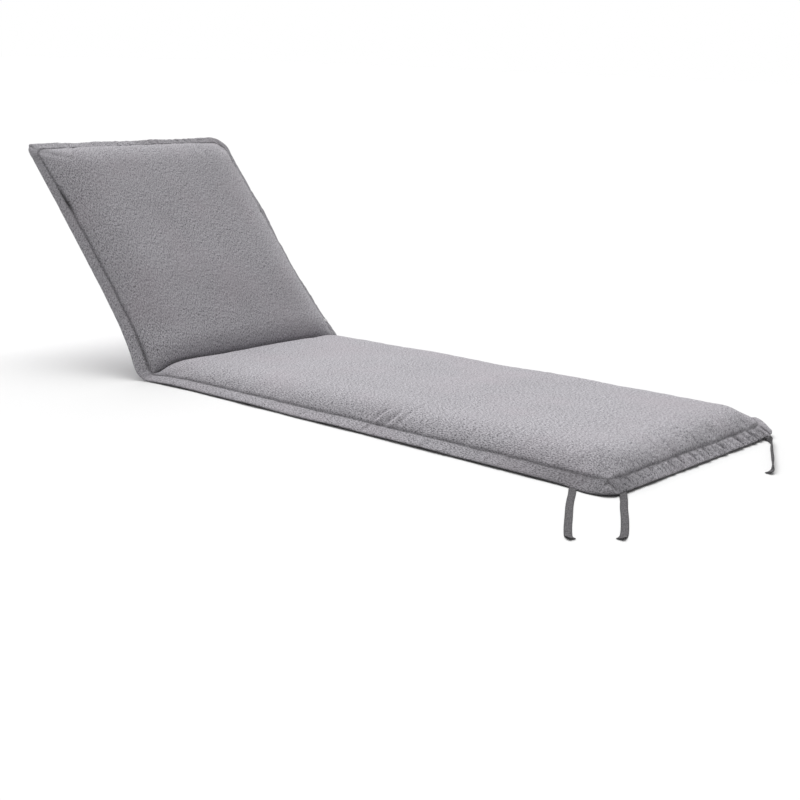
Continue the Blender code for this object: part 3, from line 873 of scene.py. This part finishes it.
def evenly(line, pitch):
    """Points at equal steps along a line, and the way that the line runs there."""
    steps = np.linalg.norm(np.diff(line, axis=0), axis=1)
    length = np.concatenate([[0.0], np.cumsum(steps)])
    at = np.linspace(0.0, length[-1], max(2, round(length[-1] / pitch)))

    def spots(where):
        return np.stack([np.interp(where, length, line[:, k]) for k in range(3)], -1)

    ahead = spots(np.minimum(at + 0.001, length[-1])) - spots(np.maximum(at - 0.001, 0.0))
    return spots(at), ahead / np.linalg.norm(ahead, axis=1, keepdims=True)


def stitches(name, lines, thread):
    """One raised run of thread for each stitch, along every line given with its outward way."""
    points = []
    faces = []
    half = STITCH_THICKNESS / 2.0
    n = STITCH_FACETS
    for line, outward in lines:
        middles, ways = evenly(line, STITCH_PITCH)
        for middle, way in zip(middles, ways):
            side = np.cross(way, outward)
            side /= np.linalg.norm(side)
            up = np.cross(side, way)
            base = len(points)
            for along, thick, lift in STITCH_PROFILE:
                centre = middle + way * along * STITCH_LENGTH + up * lift * half
                for turn in range(n):
                    angle = math.tau * turn / n
                    around = side * math.cos(angle) + up * math.sin(angle)
                    points.append((centre + around * half * thick).tolist())
            last = base + n * (len(STITCH_PROFILE) - 1)
            for ring in range(base, last, n):
                for turn in range(n):
                    a = ring + turn
                    b = ring + (turn + 1) % n
                    faces.append((a, b, b + n, a + n))
            faces.append(tuple(range(base + n - 1, base - 1, -1)))
            faces.append(tuple(range(last, last + n)))
    return mesh_object(name, points, faces, thread)


def smooth_curve(points, sections):
    """Points along a smooth curve through the given ones, evenly numbered."""
    points = np.array(points)
    padded = np.concatenate([[2 * points[0] - points[1]], points, [2 * points[-1] - points[-2]]])
    spans = len(points) - 1
    result = []
    for place_on in np.linspace(0.0, spans, sections):
        span = min(int(place_on), spans - 1)
        t = place_on - span
        p0, p1, p2, p3 = padded[span:span + 4]
        bend = 2 * p0 - 5 * p1 + 4 * p2 - p3
        twist = 3 * p1 - p0 - 3 * p2 + p3
        result.append((2 * p1 + (p2 - p0) * t + bend * t ** 2 + twist * t ** 3) / 2)
    return np.array(result)


def edge_spot(edge, along, out, shift):
    """Plan place beside an edge: out is outwards from it, shift is along it."""
    if edge == "foot":
        return SEAT_RUN + out, along + shift
    side = 1.0 if edge == "far" else -1.0
    return SEAT_RUN - along + shift, side * (HALF_WIDTH + out)


def hem_edge_at(edge, along):
    """How far the hem's free edge stands out beside a tape that leaves it there."""
    outs = []
    for beside in (-TIE_WIDTH / 2.0, 0.0, TIE_WIDTH / 2.0):
        run, across = plan(*edge_spot(edge, along, 0.0, beside))
        outs.append(run - SEAT_RUN if edge == "foot" else abs(across) - HALF_WIDTH)
    return max(outs)


def hem_middle_at(edge, along):
    """Middle height of the hem's free edge."""
    return float(sum(skins(*edge_spot(edge, along, 0.0, 0.0)))) / 2.0


def ribbon(name, centres, sides, width, thickness, tip, mat):
    """A tape with round edges, on a middle line. Its last stretch, tip, is a turned-in end."""
    ways = np.gradient(centres, axis=0)
    ways /= np.linalg.norm(ways, axis=1, keepdims=True)
    normals = np.cross(ways, sides)
    normals /= np.linalg.norm(normals, axis=1, keepdims=True)
    steps = np.linalg.norm(np.diff(centres, axis=0), axis=1)
    length = np.concatenate([[0.0], np.cumsum(steps)])
    doubled = ease((length - (length[-1] - tip)) / TAPE_END_STEP)
    half_thick = thickness / 2.0 * (1.0 + TAPE_END_FULLER * doubled)

    across, up = np.array(TAPE_SECTION).T
    ring_across = np.concatenate([across, across[::-1]])
    ring_up = np.concatenate([up, -up[::-1]])
    n = len(ring_across)
    middle = centres[:, None] + sides[:, None] * (ring_across * width / 2.0)[None, :, None]
    lift = half_thick[:, None] * ring_up
    points = middle + normals[:, None] * lift[..., None]
    flat = np.stack([np.repeat(length[:, None], n, 1),
                     np.repeat(ring_across[None] * width / 2.0, len(length), 0)], -1)

    faces = []
    for i in range(len(centres) - 1):
        for k in range(n):
            a = i * n + k
            b = i * n + (k + 1) % n
            faces.append((a, b, b + n, a + n))
    last = (len(centres) - 1) * n
    faces.append(tuple(range(n - 1, -1, -1)))
    faces.append(tuple(range(last, last + n)))
    obj = mesh_object(name, points.reshape(-1, 3).tolist(), faces, mat)
    write_flat_cloth(obj, flat.reshape(-1, 2))
    return obj, float(length[-1])


def slanted_at_hem(centres, edge, along, start):
    """Ways across a level tape: along the hem where it leaves that, and square further out."""
    hem_spot = place(*edge_spot(edge, along, start, 0.0), 0.0)
    hem_way = place(*edge_spot(edge, along, start, 0.01), 0.0) - hem_spot
    hem_way /= np.linalg.norm(hem_way)
    outward = np.array((hem_way[1], -hem_way[0], 0.0))
    ahead = np.gradient(centres, axis=0)
    square = np.stack([-ahead[:, 1], ahead[:, 0], 0.0 * ahead[:, 0]], -1)
    square /= np.linalg.norm(square, axis=1, keepdims=True)
    along_hem = np.sign(square @ hem_way)[:, None] * hem_way
    beside_hem = np.maximum(0.0, 1.0 - np.abs((centres - hem_spot) @ outward) / TIE_WIDTH)
    sides = square + (along_hem - square) * beside_hem[:, None]
    return sides / (sides * square).sum(-1, keepdims=True)


def tie(name, edge, along, lean, twist, route, tape):
    """A tape that comes out of the hem's free edge and lies on the floor."""
    start = hem_edge_at(edge, along) + TIE_CLEARANCE
    level = TIE_THICKNESS / 2.0 + FLOOR_CLEARANCE
    drop = hem_middle_at(edge, along) - level
    way_out = route[0][0] - start
    points = []
    sewn_in = -TIE_SEWN_IN / way_out
    for out_share, shift_share, drop_share in ((sewn_in, sewn_in, 0.0), *TIE_DROP):
        spot = edge_spot(edge, along, start + way_out * out_share, route[0][1] * shift_share)
        points.append(place(*spot, level + drop * (1.0 - drop_share)))
    for out, shift in route:
        points.append(place(*edge_spot(edge, along, out, shift), level))

    centres = smooth_curve(points, TIE_SECTIONS)
    share = np.linspace(0.0, 1.0, TIE_SECTIONS)
    leaning = rise(share - LEAN_FROM, LEAN_IN) * rise(1.0 - share, LEAN_OUT)
    tilt = math.radians(lean) * leaning
    crest = TIE_CREST * (0.5 + 0.5 * np.sin(TIE_CREST_TURNS * share + TIE_CREST_SHIFT * along))
    crest = crest * ease((share - TIE_CREST_SPAN[0]) / TIE_CREST_FADES[0])
    crest = crest * ease((TIE_CREST_SPAN[1] - share) / TIE_CREST_FADES[1])
    centres[:, 2] += crest * (1.0 - leaning)
    tip = ease((share - TWIST_FROM) / TWIST_IN)
    tilt = tilt * (1.0 - tip) + math.radians(twist) * tip
    low = level + TIE_TIP_LIFT * tip + TIE_WIDTH / 2.0 * np.abs(np.sin(tilt))
    centres[:, 2] = np.maximum(centres[:, 2], low)
    sides = slanted_at_hem(centres, edge, along, start) * np.cos(tilt)[:, None]
    sides[:, 2] += np.sin(tilt)
    obj, length = ribbon(name + "_tape", centres, sides, TIE_WIDTH, TIE_THICKNESS, TIE_TIP, tape)
    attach(obj, "root")
    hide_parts(name)


def label(satin):
    """A small blank strip of tape on the far hem of the back."""
    centres = []
    for share in np.linspace(0.0, 1.0, LABEL_SECTIONS):
        across = HALF_WIDTH - (HEM_WIDTH - LABEL_INSET - LABEL_LENGTH * share)
        lift = LABEL_CLEARANCE + LABEL_THICKNESS / 2.0
        centres.append(place(*plan(LABEL_RUN, across), skins(LABEL_RUN, across)[0] + lift))
    along_back = place(LABEL_RUN, 0.0, 0.0) - place(LABEL_RUN - 0.01, 0.0, 0.0)
    sides = np.repeat([along_back / np.linalg.norm(along_back)], len(centres), 0)
    obj, _ = ribbon("label_strip", np.array(centres), sides, LABEL_WIDTH, LABEL_THICKNESS,
                    LABEL_TIP, satin)
    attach(obj, "root")
    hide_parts("label")


def mesh_object(name, points, faces, mat):
    mesh = bpy.data.meshes.new(name)
    mesh.from_pydata(points, [], faces)
    if mat is not None:
        mesh.materials.append(mat)
    mesh.validate()
    mesh.shade_smooth()
    obj = bpy.data.objects.new(name, mesh)
    bpy.context.scene.collection.objects.link(obj)
    return obj


def write_flat_cloth(obj, flat):
    """Keep each point's place on the flat cloth in a UV map, in metres."""
    mesh = obj.data
    layer = mesh.uv_layers.new(name="flat_cloth")
    corners = np.zeros(len(mesh.loops), np.int32)
    mesh.loops.foreach_get("vertex_index", corners)
    layer.data.foreach_set("uv", flat[corners].astype(np.float32).ravel())


class Nodes:
    """A small helper that adds and joins shader nodes."""

    def __init__(self, name):
        self.mat = bpy.data.materials.new(name)
        self.mat.use_nodes = True
        self.tree = self.mat.node_tree
        self.shader = self.tree.nodes["Principled BSDF"]

    def add(self, kind, inputs=(), **settings):
        node = self.tree.nodes.new(kind)
        for key, value in settings.items():
            setattr(node, key, value)
        for key, value in dict(inputs).items():
            self.put(node, key, value)
        return node

    def put(self, node, key, value):
        socket = node.inputs[key]
        if isinstance(value, bpy.types.NodeSocket):
            self.tree.links.new(value, socket)
        else:
            socket.default_value = value

    def math(self, operation, a, b=0.0, c=0.0):
        node = self.add("ShaderNodeMath", {0: a, 1: b, 2: c}, operation=operation)
        return node.outputs[0]

    def mix(self, factor, a, b, blend="MIX"):
        node = self.add("ShaderNodeMix", data_type="RGBA", blend_type=blend)
        self.put(node, 0, factor)
        self.put(node, 6, a)
        self.put(node, 7, b)
        return node.outputs[2]

    def flat(self, scale_run, scale_across, turn=0.0):
        """Flat-cloth coordinates, scaled along and across."""
        uv = self.add("ShaderNodeUVMap", uv_map="flat_cloth").outputs[0]
        inputs = {0: uv, "Scale": (scale_run, scale_across, 1.0), "Rotation": (0.0, 0.0, turn)}
        return self.add("ShaderNodeMapping", inputs).outputs[0]

    def noise(self, vector, detail=2.0, roughness=0.5, scale=1.0):
        inputs = {"Vector": vector, "Scale": scale, "Detail": detail, "Roughness": roughness}
        return self.add("ShaderNodeTexNoise", inputs).outputs[0]

    def bands(self, direction, scale):
        """Yarns side by side, slightly uneven, on the flat cloth."""
        inputs = {"Vector": self.flat(1.0, 1.0), "Scale": scale, "Distortion": 1.2,
                  "Detail": 1.0, "Detail Scale": 3.0}
        node = self.add("ShaderNodeTexWave", inputs, wave_type="BANDS", bands_direction=direction)
        return node.outputs[1]

    def spread(self, value, low, high):
        """Stretch a value so that low becomes 0 and high becomes 1."""
        inputs = {"Value": value, "From Min": low, "From Max": high}
        return self.add("ShaderNodeMapRange", inputs).outputs[0]

    def bump(self, height, distance, strength, normal=None):
        inputs = {"Height": height, "Distance": distance, "Strength": strength}
        if normal is not None:
            inputs["Normal"] = normal
        return self.add("ShaderNodeBump", inputs).outputs[0]

    def finish(self, inputs):
        """Set or join the shader's own inputs, and give back the material."""
        for key, value in inputs.items():
            self.put(self.shader, key, value)
        return self.mat


def rgba(colour):
    return (*colour, 1.0)


def cloth_material():
    """Heathered grey weave: mixed dark and pale yarns, slight warm patches, fine ribs, and painted shade
    from the edge marks.
    """
    nodes = Nodes("cushion_cloth")
    marks = nodes.add("ShaderNodeAttribute", attribute_name="edge_marks").outputs
    in_hem = marks["Alpha"]
    split = nodes.add("ShaderNodeSeparateXYZ", {0: marks["Color"]})
    near_side, near_end, sewn = split.outputs[:3]
    long_flecks = nodes.noise(nodes.flat(170.0, 620.0), 1.0)
    cross_flecks = nodes.noise(nodes.flat(260.0, 600.0), 1.0)
    mottle = nodes.noise(nodes.flat(70.0, 110.0))
    patches = nodes.noise(nodes.flat(9.0, 14.0), 3.0, 0.55)
    warm = nodes.noise(nodes.flat(5.5, 7.0, 0.4))

    dark = nodes.spread(long_flecks, 0.43, 0.54)
    light = nodes.spread(cross_flecks, 0.49, 0.58)
    colour = nodes.mix(dark, rgba(CLOTH_DARK), rgba(CLOTH_MID))
    colour = nodes.mix(nodes.math("MULTIPLY", light, 0.60), colour, rgba(CLOTH_LIGHT))
    tint = nodes.math("MULTIPLY", nodes.spread(warm, 0.46, 0.72), 0.24)
    colour = nodes.mix(tint, colour, rgba(CLOTH_WARM))
    shade = nodes.math("MULTIPLY_ADD", patches, 0.12, 0.86)
    shade = nodes.math("MULTIPLY_ADD", mottle, 0.12, shade)
    # Painted shade along the seams, in the open seam stretches, on the back's far hem and near the foot
    # corner
    shade = nodes.math("MULTIPLY_ADD", sewn, -0.34, shade)
    # Painted shade: the whole hem a little darker
    shade = nodes.math("MULTIPLY_ADD", in_hem, -0.05, shade)
    grey = nodes.add("ShaderNodeCombineColor", {0: shade, 1: shade, 2: shade}).outputs[0]
    colour = nodes.mix(1.0, colour, grey, "MULTIPLY")

    weave = nodes.math("MULTIPLY", nodes.bands("Y", 230.0), nodes.bands("X", 190.0))
    side_ripples = nodes.noise(nodes.flat(75.0, 9.0))
    end_ripples = nodes.noise(nodes.flat(9.0, 110.0))
    side_ripples = nodes.math("MULTIPLY", nodes.math("SUBTRACT", side_ripples, 0.5), near_side)
    end_ripples = nodes.math("MULTIPLY", nodes.math("SUBTRACT", end_ripples, 0.5), near_end)
    ripples = nodes.math("MULTIPLY_ADD", side_ripples, 0.6, end_ripples)
    normal = nodes.bump(ripples, 0.0026, 0.9)
    normal = nodes.bump(weave, 0.0005, 0.55, normal)
    normal = nodes.bump(long_flecks, 0.0006, 0.3, normal)
    return nodes.finish({"Base Color": colour, "Normal": normal, "Roughness": 0.92,
                         "Sheen Weight": 0.10, "Sheen Roughness": 0.45,
                         "Specular IOR Level": 0.2})


def tape_material():
    """Ribbed grey tape, darkened all over by painted shade, and more so along its two edges."""
    nodes = Nodes("tie_tape")
    flecks = nodes.noise(nodes.flat(190.0, 420.0), roughness=0.6)
    across = nodes.add("ShaderNodeSeparateXYZ", {0: nodes.flat(1.0, 1.0)}).outputs[1]
    # Painted shade along the tape's two edges
    edge = nodes.spread(nodes.math("ABSOLUTE", across), 0.0047, 0.0062)
    fleck_share = nodes.math("MULTIPLY", nodes.spread(flecks, 0.40, 0.60), 0.80)
    colour = nodes.mix(fleck_share, rgba(TAPE_PAINTED_SHADE_COLOUR), rgba(TAPE_DARK))
    colour = nodes.mix(nodes.math("MULTIPLY", edge, 0.85), colour, rgba(TAPE_EDGE_PAINTED_SHADE))
    ribs = nodes.math("MULTIPLY", nodes.bands("X", 330.0), nodes.bands("Y", 240.0))
    normal = nodes.bump(ribs, 0.0004, 0.6)
    return nodes.finish({"Base Color": colour, "Normal": normal, "Roughness": 0.85,
                         "Specular IOR Level": 0.25})


def label_material():
    """Pale satin-woven tape, blank."""
    nodes = Nodes("label_satin")
    threads = nodes.noise(nodes.flat(500.0, 2500.0))
    shade = nodes.math("MULTIPLY_ADD", threads, 0.20, 0.90)
    grey = nodes.add("ShaderNodeCombineColor", {0: shade, 1: shade, 2: shade}).outputs[0]
    colour = nodes.mix(1.0, rgba(LABEL_COLOUR), grey, "MULTIPLY")
    normal = nodes.bump(nodes.bands("Y", 600.0), 0.0002, 0.4)
    return nodes.finish({"Base Color": colour, "Normal": normal, "Roughness": 0.55})


def thread_material():
    """Grey sewing thread, with its twist."""
    nodes = Nodes("seam_thread")
    spot = nodes.add("ShaderNodeTexCoord").outputs["Object"]
    twist = nodes.noise(spot, scale=2600.0)
    colour = nodes.mix(twist, rgba(THREAD_COLOUR), rgba(CLOTH_DARK))
    normal = nodes.bump(twist, 0.0001, 0.5)
    return nodes.finish({"Base Color": colour, "Normal": normal, "Roughness": 0.6})


def floor_material():
    inputs = {"Base Color": rgba(FLOOR_COLOUR), "Roughness": 0.85, "Specular IOR Level": 0.1}
    return Nodes("floor").finish(inputs)


def make_floor():
    points = [(-40.0, -40.0, 0.0), (40.0, -40.0, 0.0), (40.0, 40.0, 0.0), (-40.0, 40.0, 0.0)]
    floor = mesh_object("floor", points, [(0, 1, 2, 3)], floor_material())


def make_camera():
    turn = Matrix.Rotation(CAMERA_HEADING - math.pi / 2.0, 4, "Z")
    turn = turn @ Matrix.Rotation(math.pi / 2.0 - CAMERA_DOWN, 4, "X")
    turn = turn @ Matrix.Rotation(CAMERA_ROLL, 4, "Z")
    data = bpy.data.cameras.new("camera")
    data.lens = CAMERA_LENS
    data.sensor_width = CAMERA_SENSOR
    data.clip_start = 0.05
    camera = bpy.data.objects.new("camera", data)
    camera.matrix_world = Matrix.Translation(CAMERA_PLACE) @ turn
    bpy.context.scene.collection.objects.link(camera)
    bpy.context.scene.camera = camera


def make_light():
    world = bpy.data.worlds.new("studio")
    bpy.context.scene.world = world
    world.use_nodes = True
    tree = world.node_tree
    sky = tree.nodes["Background"]
    pale = tree.nodes.new("ShaderNodeBackground")
    for shade, strength in ((sky, SKY_STRENGTH), (pale, BACKGROUND_STRENGTH)):
        shade.inputs["Color"].default_value = (1.0, 1.0, 1.0, 1.0)
        shade.inputs["Strength"].default_value = strength
    path = tree.nodes.new("ShaderNodeLightPath")
    mix = tree.nodes.new("ShaderNodeMixShader")
    tree.links.new(path.outputs["Is Camera Ray"], mix.inputs[0])
    tree.links.new(sky.outputs[0], mix.inputs[1])
    tree.links.new(pale.outputs[0], mix.inputs[2])
    tree.links.new(mix.outputs[0], tree.nodes["World Output"].inputs[0])

    data = bpy.data.lights.new("key", "SUN")
    data.angle = KEY_SPREAD
    data.energy = KEY_STRENGTH
    key = bpy.data.objects.new("key", data)
    key.rotation_euler = KEY_FROM.to_track_quat("Z", "Y").to_euler()
    bpy.context.scene.collection.objects.link(key)
    bpy.context.scene.view_settings.view_transform = "Standard"


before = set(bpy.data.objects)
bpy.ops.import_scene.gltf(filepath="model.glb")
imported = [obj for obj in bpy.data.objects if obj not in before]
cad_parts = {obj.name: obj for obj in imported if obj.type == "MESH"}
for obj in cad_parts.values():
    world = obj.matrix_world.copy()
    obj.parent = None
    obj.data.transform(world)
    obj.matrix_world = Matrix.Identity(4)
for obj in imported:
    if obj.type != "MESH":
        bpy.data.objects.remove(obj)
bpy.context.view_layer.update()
make_camera()
make_light()
make_floor()

grid_rows, grid_columns, upper_skin, lower_skin = cushion_points()
cushion = cushion_mesh(cloth_material(), grid_rows, grid_columns, upper_skin, lower_skin)
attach(cushion, "root")
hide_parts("cushion")

up = np.array((0.0, 0.0, 1.0))
bend_row = int(np.argmin(np.abs(grid_rows)))
inside = np.abs(grid_columns) < HALF_WIDTH - HEM_WIDTH
sewn_lines = [
    (seam_line(upper_skin, grid_rows, grid_columns), up),
    (seam_line(lower_skin, grid_rows, grid_columns), -up),
    (upper_skin[bend_row, inside], up),
    (lower_skin[bend_row, inside], -up),
]
thread = stitches("seam_thread", sewn_lines, thread_material())
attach(thread, "root")

tape = tape_material()
for tie_name, (tie_edge, tie_along, tie_lean, tie_twist, tie_route) in TIES.items():
    tie(tie_name, tie_edge, tie_along, tie_lean, tie_twist, tie_route, tape)
label(label_material())
